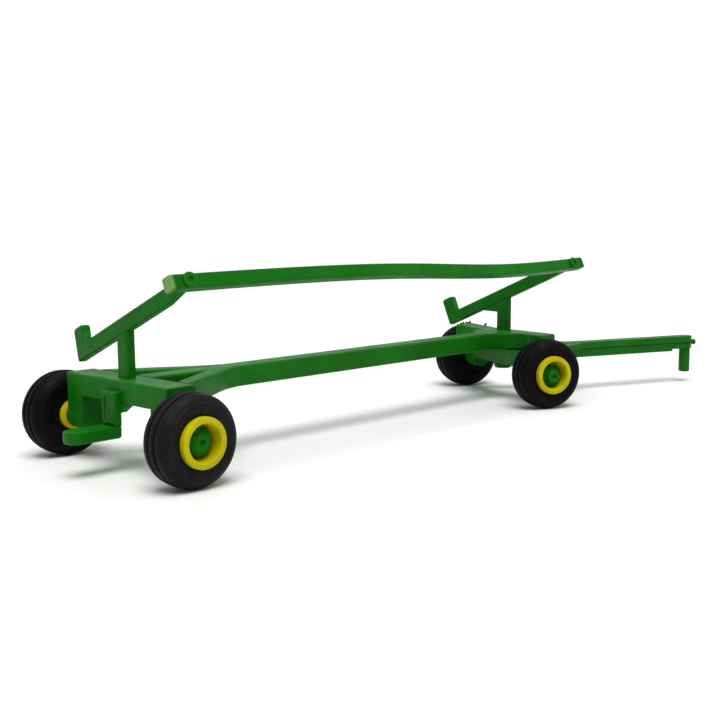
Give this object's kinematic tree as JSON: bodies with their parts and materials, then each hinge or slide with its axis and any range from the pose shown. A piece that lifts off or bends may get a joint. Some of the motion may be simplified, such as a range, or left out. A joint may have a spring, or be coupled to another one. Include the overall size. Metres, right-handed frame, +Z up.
{
  "type": "toy header transport cart",
  "caption": "Toy farm cart for carrying a combine header: long beam on wheels, sloping cradle arms joined by a side rail, steering front bogie with tongue and hitch pin.",
  "frame": {"origin": "on the ground, under the middle of the rear axle", "axes": "+X forward towards the tongue, +Y to the cart's left, +Z up"},
  "size_m": [0.1315, 0.036, 0.0266],
  "materials": {
    "green_plastic": "moulded, slightly satin",
    "yellow_plastic": "moulded gloss",
    "tyre_rubber": "matt soft plastic"
  },
  "bodies": {
    "chassis": {"main_beam": "green_plastic", "fork_brace_left": "green_plastic", "fork_brace_right": "green_plastic", "rear_crossbeam": "green_plastic", "front_crossbeam": "green_plastic", "rear_hitch_bracket": "green_plastic", "rear_drawbar": "green_plastic", "rear_post": "green_plastic", "front_post": "green_plastic", "rear_cradle_arm": "green_plastic", "front_cradle_arm": "green_plastic", "header_rail": "green_plastic", "rail_pegs": "green_plastic", "kingpin": "green_plastic", "rear_axle_pegs": "green_plastic"},
    "front_bogie": {"bolster": "green_plastic", "tongue": "green_plastic", "hitch_pin": "green_plastic", "front_axle_pegs": "green_plastic"},
    "rear_left_wheel": {"rear_left_tyre": "tyre_rubber", "rear_left_rim": "yellow_plastic"},
    "rear_right_wheel": {"rear_right_tyre": "tyre_rubber", "rear_right_rim": "yellow_plastic"},
    "front_left_wheel": {"front_left_tyre": "tyre_rubber", "front_left_rim": "yellow_plastic"},
    "front_right_wheel": {"front_right_tyre": "tyre_rubber", "front_right_rim": "yellow_plastic"}
  },
  "joints": [
    {"name": "steer", "type": "hinge", "parent": "chassis", "child": "front_bogie", "pos_m": [0.0823, 0, 0.009], "axis": [0, 0, 1], "range_deg": [-21.9, 68.1]},
    {"name": "rear_left_spin", "type": "hinge", "parent": "chassis", "child": "rear_left_wheel", "pos_m": [0, 0, 0.006], "axis": [0, 1, 0], "continuous": true},
    {"name": "rear_right_spin", "type": "hinge", "parent": "chassis", "child": "rear_right_wheel", "pos_m": [0, 0, 0.006], "axis": [0, 1, 0], "continuous": true},
    {"name": "front_left_spin", "type": "hinge", "parent": "front_bogie", "child": "front_left_wheel", "pos_m": [0.0823, 0, 0.006], "axis": [0.3923, 0.9198, 0], "continuous": true},
    {"name": "front_right_spin", "type": "hinge", "parent": "front_bogie", "child": "front_right_wheel", "pos_m": [0.0823, 0, 0.006], "axis": [0.3923, 0.9198, 0], "continuous": true}
  ]
}
